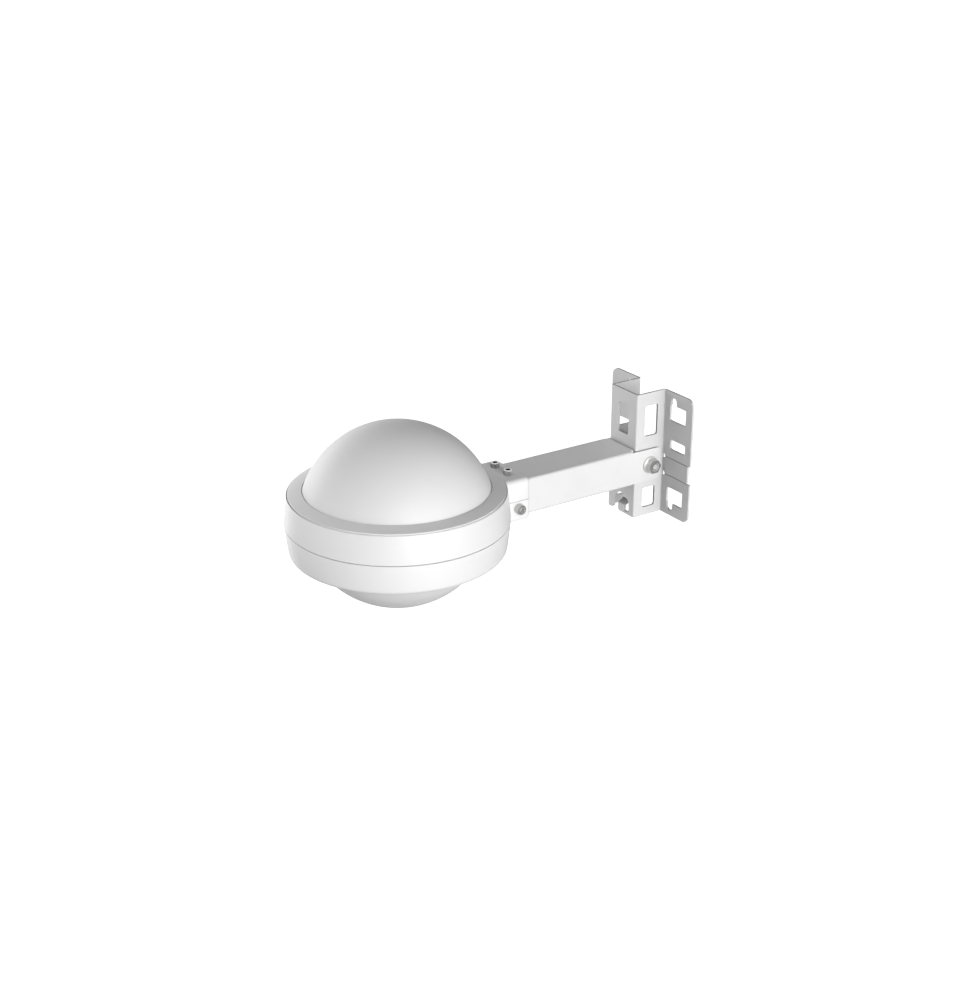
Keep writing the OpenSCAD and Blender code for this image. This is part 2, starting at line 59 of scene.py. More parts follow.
def tidy(ob, smooth=32.0):
    """Outward normals, smooth shading with sharp edges kept."""
    bm = bmesh.new()
    bm.from_mesh(ob.data)
    bmesh.ops.recalc_face_normals(bm, faces=bm.faces)
    for f in bm.faces:
        f.smooth = True
    bm.to_mesh(ob.data)
    bm.free()
    ob.data.set_sharp_from_angle(angle=math.radians(smooth))
    ob.data.update()
    return ob


def from_lists(name, verts, faces):
    me = bpy.data.meshes.new(name)
    me.from_pydata([tuple(float(c) * MM for c in v) for v in verts], [], faces)
    me.validate()
    me.update()
    return link(bpy.data.objects.new(name, me))


def lathe(name, prof, n=256, z0=0.0):
    """Solid of revolution about the dome axis. prof is (r, z) in mm, a closed loop or one that starts and ends on the axis."""
    verts, idx = [], []
    for r, z in prof:
        if r < 1e-9:
            idx.append([len(verts)])
            verts.append((0, DOME_Y, z + z0))
        else:
            s = len(verts)
            for k in range(n):
                a = 2 * math.pi * k / n
                verts.append((r * math.cos(a), DOME_Y + r * math.sin(a), z + z0))
            idx.append(list(range(s, s + n)))
    faces = []
    pairs = list(zip(idx, idx[1:] + idx[:1]))
    for a, b in pairs:
        if len(a) == 1 and len(b) == 1:
            continue
        for k in range(n):
            k2 = (k + 1) % n
            if len(a) == 1:
                faces.append((a[0], b[k], b[k2]))
            elif len(b) == 1:
                faces.append((a[k], a[k2], b[0]))
            else:
                faces.append((a[k], a[k2], b[k2], b[k]))
    return tidy(from_lists(name, verts, faces))


def spun(name, rings, n, mat, smooth=28.0):
    """Rings of radii (one number, or n of them) at heights, closed at poles, placed by mat (mm)."""
    verts, idx = [], []
    for r, z in rings:
        if np.isscalar(r) and r == 0:
            idx.append([len(verts)])
            verts.append(Vector((0, 0, z)))
        else:
            rr = np.full(n, r) if np.isscalar(r) else r
            zz = np.full(n, z) if np.isscalar(z) else z
            s = len(verts)
            for k in range(n):
                a = 2 * math.pi * k / n
                verts.append(Vector((rr[k] * math.cos(a), rr[k] * math.sin(a), zz[k])))
            idx.append(list(range(s, s + n)))
    faces = []
    loops = list(zip(idx, idx[1:]))
    if len(idx[0]) > 1 and len(idx[-1]) > 1:
        loops.append((idx[-1], idx[0]))
    for a, b in loops:
        for k in range(n):
            k2 = (k + 1) % n
            if len(a) == 1:
                faces.append((a[0], b[k], b[k2]))
            elif len(b) == 1:
                faces.append((a[k], a[k2], b[0]))
            else:
                faces.append((a[k], a[k2], b[k2], b[k]))
    verts = [mat @ v for v in verts]
    return tidy(from_lists(name, verts, faces), smooth)


def prism(name, pts, axis, lo, hi):
    """A 2D outline (mm) extruded along x (pts are y, z), y (pts are x, z) or z (pts are x, y)."""
    def put(p, t):
        return {"x": (t, p[0], p[1]), "y": (p[0], t, p[1]), "z": (p[0], p[1], t)}[axis]
    n = len(pts)
    verts = [put(p, lo) for p in pts] + [put(p, hi) for p in pts]
    faces = [tuple(range(n))[::-1], tuple(range(n, 2 * n))]
    faces += [(k, (k + 1) % n, n + (k + 1) % n, n + k) for k in range(n)]
    return tidy(from_lists(name, verts, faces))


def box_mesh(name, x0, x1, y0, y1, z0, z1):
    return prism(name, [(x0, y0), (x1, y0), (x1, y1), (x0, y1)], "z", z0, z1)


def cyl(name, centre, r, axis, lo, hi, n=64):
    pts = [(centre[0] + r * math.cos(2 * math.pi * k / n), centre[1] + r * math.sin(2 * math.pi * k / n)) for k in range(n)]
    return prism(name, pts, axis, lo, hi)


def arc(cx, cy, r, a0, a1, n):
    return [(cx + r * math.cos(math.radians(a0 + (a1 - a0) * i / n)), cy + r * math.sin(math.radians(a0 + (a1 - a0) * i / n))) for i in range(n + 1)]


def rrect(x0, y0, x1, y1, r, n=8):
    return (arc(x1 - r, y1 - r, r, 0, 90, n) + arc(x0 + r, y1 - r, r, 90, 180, n)
            + arc(x0 + r, y0 + r, r, 180, 270, n) + arc(x1 - r, y0 + r, r, 270, 360, n))


def join(name, obs):
    """One mesh object of several disjoint ones."""
    bm = bmesh.new()
    for o in obs:
        bm.from_mesh(o.data)
        bpy.data.objects.remove(o)
    me = bpy.data.meshes.new(name)
    bm.to_mesh(me)
    bm.free()
    return link(bpy.data.objects.new(name, me))


def boolean(ob, other, op="DIFFERENCE"):
    """ob op other, in place; other is used up."""
    m = ob.modifiers.new("b", "BOOLEAN")
    m.operation = op
    m.solver = "EXACT"
    m.object = other
    dg = bpy.context.evaluated_depsgraph_get()
    dg.update()
    me = bpy.data.meshes.new_from_object(ob.evaluated_get(dg))
    ob.modifiers.clear()
    old = ob.data
    ob.data = me
    bpy.data.meshes.remove(old)
    bpy.data.objects.remove(other)
    return ob


def soften(ob, width, segs=2, angle=34.0, dissolve=0.6, smooth=32.0):
    """Merges what the boolean split, then rounds the sharp edges a little."""
    bm = bmesh.new()
    bm.from_mesh(ob.data)
    bmesh.ops.remove_doubles(bm, verts=bm.verts, dist=0.004 * MM)
    bmesh.ops.dissolve_limit(bm, angle_limit=math.radians(dissolve), verts=bm.verts, edges=bm.edges)
    bmesh.ops.recalc_face_normals(bm, faces=bm.faces)
    bm.to_mesh(ob.data)
    bm.free()
    if width > 0:
        m = ob.modifiers.new("bevel", "BEVEL")
        m.width = width * MM
        m.segments = segs
        m.limit_method = "ANGLE"
        m.angle_limit = math.radians(angle)
        m.use_clamp_overlap = True
        dg = bpy.context.evaluated_depsgraph_get()
        dg.update()
        me = bpy.data.meshes.new_from_object(ob.evaluated_get(dg))
        ob.modifiers.clear()
        old = ob.data
        ob.data = me
        bpy.data.meshes.remove(old)
    bm = bmesh.new()
    bm.from_mesh(ob.data)
    bmesh.ops.remove_doubles(bm, verts=bm.verts, dist=0.002 * MM)
    for f in bm.faces:
        f.smooth = True
    bm.to_mesh(ob.data)
    bm.free()
    ob.data.set_sharp_from_angle(angle=math.radians(smooth))
    w = ob.modifiers.new("wn", "WEIGHTED_NORMAL")
    w.keep_sharp = True
    w.weight = 60
    return ob


# ---------------------------------------------------------------- materials
def node(nt, kind, x, y, **inputs):
    nd = nt.nodes.new(kind)
    nd.location = (x, y)
    for k, v in inputs.items():
        nd.inputs[k.replace("_", " ")].default_value = v
    return nd


def finish_mat(name, col, rough, metallic=0.0, grain=1200.0, bump=0.25, depth=2e-5, var=0.03,
               rvar=0.05, patch=22.0, coat=0.0, coat_rough=0.08, spec=0.5, stretch=None, fleck=0.0):
    """Procedural finish: fine grain bump, broad tone drift and patchy roughness."""
    mat = bpy.data.materials.new(name)
    mat.use_nodes = True
    nt = mat.node_tree
    nt.nodes.clear()
    out = nt.nodes.new("ShaderNodeOutputMaterial")
    out.location = (700, 0)
    bs = nt.nodes.new("ShaderNodeBsdfPrincipled")
    bs.location = (400, 0)
    nt.links.new(bs.outputs["BSDF"], out.inputs["Surface"])
    bs.inputs["Metallic"].default_value = metallic
    bs.inputs["Coat Weight"].default_value = coat
    bs.inputs["Coat Roughness"].default_value = coat_rough
    bs.inputs["Specular IOR Level"].default_value = spec
    tc = nt.nodes.new("ShaderNodeTexCoord")
    tc.location = (-900, 0)
    src = tc.outputs["Object"]
    if stretch:
        mp = nt.nodes.new("ShaderNodeMapping")
        mp.location = (-720, -250)
        mp.inputs["Scale"].default_value = stretch
        nt.links.new(src, mp.inputs["Vector"])
        fine_src = mp.outputs["Vector"]
    else:
        fine_src = src
    fine = node(nt, "ShaderNodeTexNoise", -520, -300, Scale=grain, Detail=3.0, Roughness=0.55)
    nt.links.new(fine_src, fine.inputs["Vector"])
    bp = nt.nodes.new("ShaderNodeBump")
    bp.location = (100, -300)
    bp.inputs["Strength"].default_value = bump
    bp.inputs["Distance"].default_value = depth
    nt.links.new(fine.outputs["Fac"], bp.inputs["Height"])
    nt.links.new(bp.outputs["Normal"], bs.inputs["Normal"])
    broad = node(nt, "ShaderNodeTexNoise", -520, 200, Scale=patch, Detail=4.0, Roughness=0.6)
    nt.links.new(src, broad.inputs["Vector"])
    mix = nt.nodes.new("ShaderNodeMix")
    mix.data_type = "RGBA"
    mix.location = (-60, 200)
    mix.inputs["A"].default_value = (*[c * (1 - var) for c in col], 1)
    mix.inputs["B"].default_value = (*[min(1.0, c * (1 + var)) for c in col], 1)
    fac = node(nt, "ShaderNodeMapRange", -280, 200)
    fac.inputs["From Min"].default_value = 0.32
    fac.inputs["From Max"].default_value = 0.68
    nt.links.new(broad.outputs["Fac"], fac.inputs["Value"])
    nt.links.new(fac.outputs["Result"], mix.inputs["Factor"])
    col_out = mix.outputs["Result"]
    if fleck > 0:
        sp = node(nt, "ShaderNodeTexNoise", -520, 480, Scale=grain * 0.6, Detail=2.0, Roughness=0.7)
        nt.links.new(src, sp.inputs["Vector"])
        fr = node(nt, "ShaderNodeMapRange", -280, 480)
        fr.inputs["From Min"].default_value = 0.60
        fr.inputs["From Max"].default_value = 0.75
        fr.inputs["To Max"].default_value = fleck
        nt.links.new(sp.outputs["Fac"], fr.inputs["Value"])
        m2 = nt.nodes.new("ShaderNodeMix")
        m2.data_type = "RGBA"
        m2.location = (160, 300)
        m2.inputs["B"].default_value = (*[c * 0.72 for c in col], 1)
        nt.links.new(fr.outputs["Result"], m2.inputs["Factor"])
        nt.links.new(col_out, m2.inputs["A"])
        col_out = m2.outputs["Result"]
    nt.links.new(col_out, bs.inputs["Base Color"])
    rr = node(nt, "ShaderNodeMapRange", -60, -40)
    rr.inputs["From Min"].default_value = 0.3
    rr.inputs["From Max"].default_value = 0.7
    rr.inputs["To Min"].default_value = max(0.02, rough - rvar)
    rr.inputs["To Max"].default_value = min(1.0, rough + rvar)
    nt.links.new(broad.outputs["Fac"], rr.inputs["Value"])
    nt.links.new(rr.outputs["Result"], bs.inputs["Roughness"])
    return mat


WHITE = 0.62
M = {
    "radome": finish_mat("radome_matte", (WHITE * 1.05, WHITE * 1.05, WHITE * 1.05), 0.46, grain=1500, bump=0.18, depth=1.2e-5, var=0.012, rvar=0.03, patch=14, spec=0.45),
    "housing": finish_mat("housing_gloss", (WHITE * 1.11, WHITE * 1.11, WHITE * 1.11), 0.24, grain=420, bump=0.10, depth=1.0e-5, var=0.010, rvar=0.02, patch=12, spec=0.5),
    "bracket_paint": finish_mat("bracket_powder", (WHITE * 0.92, WHITE * 0.92, WHITE * 0.92), 0.42, grain=1100, bump=0.35, depth=2.2e-5, var=0.018, rvar=0.05, patch=30, spec=0.45, fleck=0.10),
    "arm_paint": finish_mat("arm_powder", (WHITE, WHITE, WHITE), 0.40, grain=1100, bump=0.35, depth=2.2e-5, var=0.018, rvar=0.05, patch=30, spec=0.45, fleck=0.10),
    # partly real, partly painted shade: a darker cut-edge finish, given only to edges picked by the way they face,
    # where shade falls
    "edge": finish_mat("sheared_edge_and_painted_shade", (0.34, 0.34, 0.34), 0.5, grain=2600, bump=0.5, depth=3e-5, var=0.16, rvar=0.08, patch=320, spec=0.4),
    "zinc_steel": finish_mat("zinc_plate", (0.42, 0.42, 0.41), 0.24, metallic=1.0, grain=2400, bump=0.25, depth=1.5e-5, var=0.14, rvar=0.07, patch=420),
    # painted shade: a darker, less metallic copy of the zinc plate for the top screws' sides
    "zinc_side": finish_mat("zinc_plate_shaded_copy", (0.34, 0.34, 0.34), 0.30, metallic=0.75, grain=2400, bump=0.25, depth=1.5e-5, var=0.10, rvar=0.05, patch=420),
    # painted highlight: a bright non-metal copy of the zinc plate for the top screws' end rings
    "zinc_light": finish_mat("zinc_plate_painted_highlight", (0.92, 0.92, 0.91), 0.42, metallic=0.0, grain=2400, bump=0.2, depth=1.5e-5, var=0.05, rvar=0.05, patch=420),
    # painted reflection: a mid grey copy of the zinc plate for the side screws' socket centres and the bolt's end
    "zinc_mid": finish_mat("zinc_plate_painted_reflection", (0.42, 0.42, 0.42), 0.45, metallic=0.0, grain=2400, bump=0.2, depth=1.5e-5, var=0.06, rvar=0.05, patch=420, spec=0.3),
    # painted dark reflection: a dark copy of the zinc plate for the end faces of the side screws, the nut and the bolt
    "zinc_dark": finish_mat("zinc_plate_painted_dark_reflection", (0.16, 0.16, 0.16), 0.45, metallic=0.0, grain=2400, bump=0.2, depth=1.5e-5, var=0.08, rvar=0.05, patch=420, spec=0.3),
    # painted light: a lighter, less metallic copy of the zinc plate for the nut, the bolt and the side screws
    "zinc_hex": finish_mat("zinc_plate_lit_copy", (0.62, 0.62, 0.61), 0.38, metallic=0.30, grain=2400, bump=0.2, depth=1.5e-5, var=0.06, rvar=0.05, patch=420),
    # painted shade: near-black colour for the top screws' socket recesses
    "socket": finish_mat("socket_painted_shade", (0.035, 0.035, 0.036), 0.4, metallic=0.6, grain=2400, bump=0.3, depth=2e-5, var=0.2, rvar=0.08, patch=500),
    "seal_rubber": finish_mat("seal_rubber", (0.03, 0.03, 0.031), 0.62, grain=1700, bump=0.4, depth=3e-5, var=0.16, rvar=0.08, patch=60, spec=0.4),
    "clamp_plastic": finish_mat("clamp_plastic", (0.48, 0.48, 0.47), 0.5, grain=1500, bump=0.35, depth=3e-5, var=0.04, patch=40),
    "cast_aluminium": finish_mat("cast_aluminium", (0.66, 0.66, 0.67), 0.42, metallic=1.0, grain=1400, bump=0.6, depth=4e-5, var=0.07, rvar=0.1, patch=120),
    "circuit_board": finish_mat("board_mask", (0.03, 0.17, 0.09), 0.34, grain=900, bump=0.25, depth=2e-5, var=0.18, patch=160, coat=0.3),
    "pad": finish_mat("gap_pad", (0.30, 0.42, 0.52), 0.8, grain=1900, bump=0.5, depth=4e-5, var=0.08, patch=120),
    "brass_gold": finish_mat("gold_brass", (0.72, 0.52, 0.22), 0.28, metallic=1.0, grain=1500, bump=0.3, depth=1.5e-5, var=0.08, patch=160),
    "nylon": finish_mat("nylon", (0.68, 0.67, 0.60), 0.5, grain=1300, bump=0.25, depth=2e-5, var=0.04, patch=90),
}

slot_of = {s["node"]: s["material_slot"] for s in frame["record"]["subparts"]} if "subparts" in frame["record"] else {}
if not slot_of:
    slot_of = {s["node"]: s.get("material_slot") for s in frame["record"].get("nodes", [])}


def give(ob, *mats):
    ob.data.materials.clear()
    for m in mats:
        ob.data.materials.append(M[m])
    return ob


def piece(ob, body, slot, *nodes):
    ob_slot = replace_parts(ob, *nodes)
    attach(ob_slot, body)
    return ob


# ---------------------------------------------------------------- domes
def dome_loop(R, t, z_base, flange_t, flange_r, n=72):
    """Loop of a dome shell whose sphere centre is at z = 0, dome upwards."""
    a1 = math.degrees(math.asin((z_base + flange_t) / R))
    outer = arc(0, 0, R, 90, a1, n)
    outer[0] = (0.0, R)
    Ri = R - t
    a2 = math.degrees(math.asin(z_base / Ri))
    inner = arc(0, 0, Ri, a2, 90, n)
    inner[-1] = (0.0, Ri)
    fl = [(flange_r - 0.3, z_base + flange_t), (flange_r, z_base + flange_t - 0.3), (flange_r, z_base + 0.3), (flange_r - 0.3, z_base)]
    return outer + fl + inner


top = lathe("radome_top_shell", dome_loop(92.1, 2.5, 22, 3, 93.6), 288)
give(top, "radome")
piece(top, "arm", "radome", "radome_top")

low = lathe("radome_bottom_shell", [(r, -z) for r, z in dome_loop(91.5, 2.5, 29.5, 3, 88.7)], 288, z0=9.5)
give(low, "radome")
piece(low, "arm", "radome", "radome_bottom")

# ---------------------------------------------------------------- housing
HS_R, HS_A = 93.6, [0, 60, 120, 180, 240, 300]
CH_A = [40, 140, 220, 320]
CL_R, CL_A = 96.4, [20, 80, 160, 200, 260, 340]


def at(r, a):
    return (r * math.cos(math.radians(a)), DOME_Y + r * math.sin(math.radians(a)))


def pegs(name, spots, z0, z1, n=32):
    return join(name, [cyl("p%d" % i, at(r, a), rad, "z", z0, z1, n) for i, (r, a, rad) in enumerate(spots)])


def webs(name, angles, r0, r1, w, z0, z1):
    obs = []
    for i, a in enumerate(angles):
        c, s = math.cos(math.radians(a)), math.sin(math.radians(a))
        pts = [(r0 * c + w * s, DOME_Y + r0 * s - w * c), (r1 * c + w * s, DOME_Y + r1 * s - w * c),
               (r1 * c - w * s, DOME_Y + r1 * s + w * c), (r0 * c - w * s, DOME_Y + r0 * s + w * c)]
        obs.append(prism("w%d" % i, pts, "z", z0, z1))
    return join(name, obs)


SEAM = 0.3
upper_loop = ([(103.7, SEAM), (104.3, SEAM)] + arc(104.52, SEAM + 0.2, 0.2, -80, 4, 4)
              + [(102.56, 20), (101.82, 27.2)] + arc(101.55, 27.35, 0.25, 8, 84, 4)
              + [(101.3, 27.55), (101.28, 26.3), (100.5, 26.3), (100.48, 28.55)] + arc(100.23, 28.6, 0.25, 0, 79, 4)
              + [(94.0, 30.1), (87.7, 31.38)] + arc(87.47, 31.1, 0.32, 79, 175, 5)
              + [(88.35, 28.05), (95.6, 28.05), (98.2, 25.6), (99.36, 20), (101.6, SEAM)])
lower_loop = ([(103.7, -SEAM), (104.3, -SEAM)] + arc(104.52, -SEAM - 0.2, 0.2, 80, -4, 4) + [(102.56, -20)])
for i in range(11):
    t = i / 10
    lower_loop.append(((1 - t) ** 2 * 102.15 + 2 * t * (1 - t) * 101.75 + t * t * 98.2,
                       (1 - t) ** 2 * -23.6 + 2 * t * (1 - t) * -29.45 + t * t * -29.6))
lower_loop += ([(84.1, -29.6)] + arc(84.1, -29.2, 0.4, -90, -160, 4)
               + [(84.9, -26.05), (97.0, -26.05), (98.6, -24.5), (99.36, -20), (101.6, -SEAM),
                  (102.4, -SEAM), (102.4, -1.6), (103.7, -1.6)])

NECK_HW, NECK_END, NECK_TOP, NECK_BOT = 29.3, -168.0, 21.5, -20.2
SIDE_Z = -7.0


def rounded_block(name, z0, z1, r_top, r_bot, r_vert, keep_above):
    """Neck block with round edges, cut at the seam."""
    bm = bmesh.new()
    x0, x1, y0, y1 = -NECK_HW, NECK_HW, -206.0, NECK_END
    vs = [bm.verts.new((x, y, z)) for z in (z0, z1) for (x, y) in ((x0, y0), (x1, y0), (x1, y1), (x0, y1))]
    for f in ((0, 3, 2, 1), (4, 5, 6, 7), (0, 1, 5, 4), (1, 2, 6, 5), (2, 3, 7, 6), (3, 0, 4, 7)):
        bm.faces.new([vs[i] for i in f])
    bm.normal_update()

    def pick(test):
        return [e for e in bm.edges if test(e.verts[0].co, e.verts[1].co)]
    rear_v = pick(lambda a, b: abs(a.x - b.x) < 0.01 and abs(a.y - b.y) < 0.01 and a.y > y1 - 0.01)
    edge_z = z1 if keep_above else z0
    rim = pick(lambda a, b: abs(a.z - edge_z) < 0.01 and abs(b.z - edge_z) < 0.01 and not (a.y < y0 + 0.01 and b.y < y0 + 0.01))
    r_rim = r_top if keep_above else r_bot
    if abs(r_rim - r_vert) < 1e-6:
        bmesh.ops.bevel(bm, geom=rear_v + rim, offset=r_vert, segments=9, profile=0.5, affect="EDGES")
    else:
        bmesh.ops.bevel(bm, geom=rear_v, offset=r_vert, segments=9, profile=0.5, affect="EDGES")
        bm.edges.ensure_lookup_table()
        rim = pick(lambda a, b: abs(a.z - edge_z) < 0.01 and abs(b.z - edge_z) < 0.01 and not (a.y < y0 + 0.01 and b.y < y0 + 0.01))
        bmesh.ops.bevel(bm, geom=rim, offset=r_rim, segments=5, profile=0.5, affect="EDGES")
    cut = SEAM if keep_above else -SEAM
    geom = bm.verts[:] + bm.edges[:] + bm.faces[:]
    res = bmesh.ops.bisect_plane(bm, geom=geom, plane_co=(0, 0, cut), plane_no=(0, 0, -1 if keep_above else 1), clear_outer=True)
    edges = [e for e in res["geom_cut"] if isinstance(e, bmesh.types.BMEdge)]
    bmesh.ops.holes_fill(bm, edges=edges, sides=0)
    lip = [e for e in bm.edges if all(abs(v.co.z - cut) < 0.01 for v in e.verts) and not all(v.co.y < y0 + 0.01 for v in e.verts)]
    bmesh.ops.bevel(bm, geom=lip, offset=0.16, segments=2, profile=0.5, affect="EDGES")
    bmesh.ops.recalc_face_normals(bm, faces=bm.faces)
    bm.transform(Matrix.Scale(MM, 4))
    me = bpy.data.meshes.new(name)
    bm.to_mesh(me)
    bm.free()
    return tidy(link(bpy.data.objects.new(name, me)))


def neck_socket(z0, z1):
    s = box_mesh("sock", -23.85, 23.85, -200.0, -160.0, z0, z1)
    return boolean(s, cyl("wallcyl", (0, DOME_Y), 104.8, "z", -40, 40, 256))


def housing(name, loop, block, upper):
    shell = lathe(name, loop, 288)
    inner = lathe("inner", [(0.0, -45.0), (102.4, -45.0), (102.4, 45.0), (0.0, 45.0)], 288)
    boolean(block, inner)
    boolean(shell, block, "UNION")
    boolean(shell, neck_socket(-1 if upper else -18.8, 17.9 if upper else 1))
    if upper:
        boolean(shell, webs("w", HS_A, 93.6, 102.4, 2.0, 0.4, 16), "UNION")
        boolean(shell, pegs("p", [(HS_R, a, 4.0) for a in HS_A], 0.35, 16.05), "UNION")
        boolean(shell, pegs("p", [(CL_R, a, 2.4) for a in CL_A], 22.05, 28.4, 24), "UNION")
        boolean(shell, pegs("h", [(HS_R, a, 2.05) for a in HS_A], -1, 13, 24))
        boolean(shell, pegs("h", [(CL_R, a, 1.3) for a in CL_A], 21, 27, 20))
        boolean(shell, join("h", [cyl("a", (s * 11, -182.4), 2.75, "z", 12, 30, 32) for s in (-1, 1)]))
    else:
        boolean(shell, pegs("p", [(HS_R, a, 4.6) for a in HS_A] + [(HS_R, a, 4.0) for a in CH_A], -27.2, -18.5), "UNION")
        boolean(shell, pegs("p", [(HS_R, a, 4.0) for a in HS_A], -19.0, -0.35), "UNION")
        boolean(shell, pegs("p", [(HS_R, a, 4.0) for a in CH_A], -18.9, -2.2), "UNION")
        boolean(shell, pegs("p", [(CL_R, a, 2.4) for a in CL_A], -27.1, -20.05, 24), "UNION")
        boolean(shell, pegs("h", [(HS_R, a, 3.8) for a in HS_A], -32, -24, 48))
        boolean(shell, pegs("h", [(HS_R, a, 2.2) for a in HS_A], -31, 3, 24))
        boolean(shell, pegs("h", [(HS_R, a, 1.55) for a in CH_A], -14, 3, 20))
        boolean(shell, pegs("h", [(CL_R, a, 1.3) for a in CL_A], -25.5, -15, 20))
        boolean(shell, cyl("v", at(91.5, -90), 3.05, "z", -32, -22, 32))
        boolean(shell, join("h", [cyl("a", (-182.4, SIDE_Z), 3.25, "x", min(s * 10, s * 34), max(s * 10, s * 34), 32) for s in (-1, 1)]))
    boolean(shell, cyl("g", (0, 0), 8.0, "y", -209, -190, 48))
    tidy(shell, 30)
    return shell


up = housing("upper_housing_shell", upper_loop, rounded_block("blk_u", -20.0, NECK_TOP, 5.0, 5.0, 5.0, True), True)
give(up, "housing")
piece(up, "arm", "housing", "upper_housing")
lo = housing("lower_housing_shell", lower_loop, rounded_block("blk_l", NECK_BOT, 20.0, 5.0, 2.0, 5.0, False), False)
give(lo, "housing")
piece(lo, "arm", "housing", "lower_housing")


# ---------------------------------------------------------------- screws, bolt and nut
def hexr(af, n):
    """Radii of a hexagon of that width across flats at n angles."""
    out = []
    for k in range(n):
        a = (360.0 * k / n) % 60.0 - 30.0
        out.append(af / 2 / math.cos(math.radians(a)))
    return np.array(out)


def knurl(R, depth, n):
    return np.array([R if k % 2 == 0 else R - depth for k in range(n)])


def cap_screw(name, mat, R, H, af, shank, length, n=120):
    hx = hexr(af, n)
    depth = H * 0.56
    kn, base = knurl(R, 0.16, n), R - 0.3
    rings = [(0, -length), (shank - 0.5, -length), (shank, -length + 0.5), (shank, 0.0), (base, 0.0), (kn - 0.03, 0.3), (kn, 0.55),
             (kn, H - 0.75), (R - 0.2, H - 0.6), (R - 0.2, H - 0.3), (R - 0.3, H - 0.1), (R - 0.52, H), (hx * 1.12, H),
             (hx, H - 0.25), (hx, H - depth), (hx * 0.86, H - depth - 0.12), (0, H - depth - 0.75)]
    ob = spun(name, rings, n, mat, 30)
    return give(ob, "zinc_steel")


def turn(axis):
    return Matrix.Rotation(math.radians(90 if axis > 0 else -90), 4, "Y")


spin = Matrix.Rotation(math.radians(17), 4, "Z")
tops = [cap_screw("t%d" % i, Matrix.Translation((s * 11, -182.4, 21.5)) @ Matrix.Rotation(math.radians(a), 4, "Z"), 4.3, 5.0, 4.0, 2.5, 12.5)
        for i, (s, a) in enumerate(((-1, 11), (1, 38)))]
sides = [cap_screw("s%d" % i, Matrix.Translation((s * NECK_HW, -182.4, SIDE_Z)) @ turn(s) @ Matrix.Rotation(math.radians(a), 4, "Z"), 5.0, 6.0, 5.0, 3.0, 14.5)
         for i, (s, a) in enumerate(((-1, 22), (1, 8)))]


def two(name, obs, body, slot, nodename):
    ob = join(name, obs)
    tidy(ob, 30)
    give(ob, "zinc_steel", "socket")
    return piece(ob, body, slot, nodename)


top_pair = two("neck_top_screw_pair", tops, "arm", "zinc_steel", "neck_top_screws")
side_pair = two("neck_side_screw_pair", sides, "arm", "zinc_steel", "neck_side_screws")


def hex_rings(af, H, top_r):
    """Rings of a flanged hexagon from the flange's seat to its chamfered top."""
    n = 120
    hx = hexr(af, n)
    cone = []
    for z in (1.35, 1.7, 2.1, 2.5, 2.9):
        rc = 8.35 - (z - 1.35) * 1.25
        cone.append((np.maximum(rc, np.minimum(hx, 20)) if rc < hx.min() else np.maximum(hx, rc), z))
    rings = [(8.55, 0.0), (8.85, 0.12), (8.95, 0.4), (8.95, 0.85), (8.8, 1.15)] + cone
    for d in (0.36, 0.24, 0.12, 0.0):
        rings.append((np.minimum(hx - 0.12 * (d < 0.1), top_r + d * 1.75), H - d))
    return rings, n


nut_mat = Matrix.Translation((23.75, PIVOT_Y, PIVOT_Z)) @ turn(1) @ Matrix.Rotation(math.radians(30), 4, "Z")
rings, n_hex = hex_rings(13.0, 8.0, 7.05)
rings = [(4.05, 0.25), (4.5, 0.0)] + rings + [(4.5, 8.0), (4.05, 7.6)]
nut = give(spun("pivot_flange_nut", rings, n_hex, nut_mat, 26), "zinc_steel")
piece(nut, "bracket", "zinc_steel", "pivot_nut")

rings, n_hex = hex_rings(13.0, 7.5, 7.0)
rings = rings[::-1]
head = [(0, 7.1), (4.4, 7.1), (4.9, 7.5)] + rings  # dished top
shank_to, pitch = -(23.75 + 31.6), 1.25
head += [(4.0, 0.0), (4.0, -30.0)]
ang = np.arange(n_hex) / n_hex
z = -30.0
rows = []
while z > shank_to + 1.2:
    z -= pitch / 8
    ph = (z / pitch + ang) % 1.0
    fade = min(1.0, (-30.0 - z) / 1.5)
    rows.append((4.0 - 0.55 * fade * (1 - np.abs(2 * ph - 1)), z))
head += rows
head += [(3.95, shank_to + 0.75), (3.35, shank_to), (2.75, shank_to), (1.3, shank_to), (0, shank_to + 0.3)]
bolt_mat = Matrix.Translation((-23.75, PIVOT_Y, PIVOT_Z)) @ turn(-1) @ Matrix.Rotation(math.radians(30), 4, "Z")
bolt = give(spun("pivot_flange_bolt", head, n_hex, bolt_mat, 26), "zinc_steel")
piece(bolt, "bracket", "zinc_steel", "pivot_bolt")

# ---------------------------------------------------------------- arm
ARM_HW, ARM_ZC, ARM_H, ARM_T = 23.65, -0.45, 36.3, 2.3


def tube():
    o = rrect(-ARM_HW, ARM_ZC - ARM_H / 2, ARM_HW, ARM_ZC + ARM_H / 2, 2.6, 8)
    i = rrect(-ARM_HW + ARM_T, ARM_ZC - ARM_H / 2 + ARM_T, ARM_HW - ARM_T, ARM_ZC + ARM_H / 2 - ARM_T, 0.6, 8)
    n = len(o)
    verts = [(p[0], y, p[1]) for y in (-192.0, -38.5) for ring in (o, i) for p in ring]
    faces = []
    for k in range(n):
        k2 = (k + 1) % n
        faces += [(k, k2, n + k2, n + k), (2 * n + k, 3 * n + k, 3 * n + k2, 2 * n + k2),
                  (k, 2 * n + k, 2 * n + k2, k2), (n + k, n + k2, 3 * n + k2, 3 * n + k)]
    return tidy(from_lists("arm_tube_shell", verts, faces))


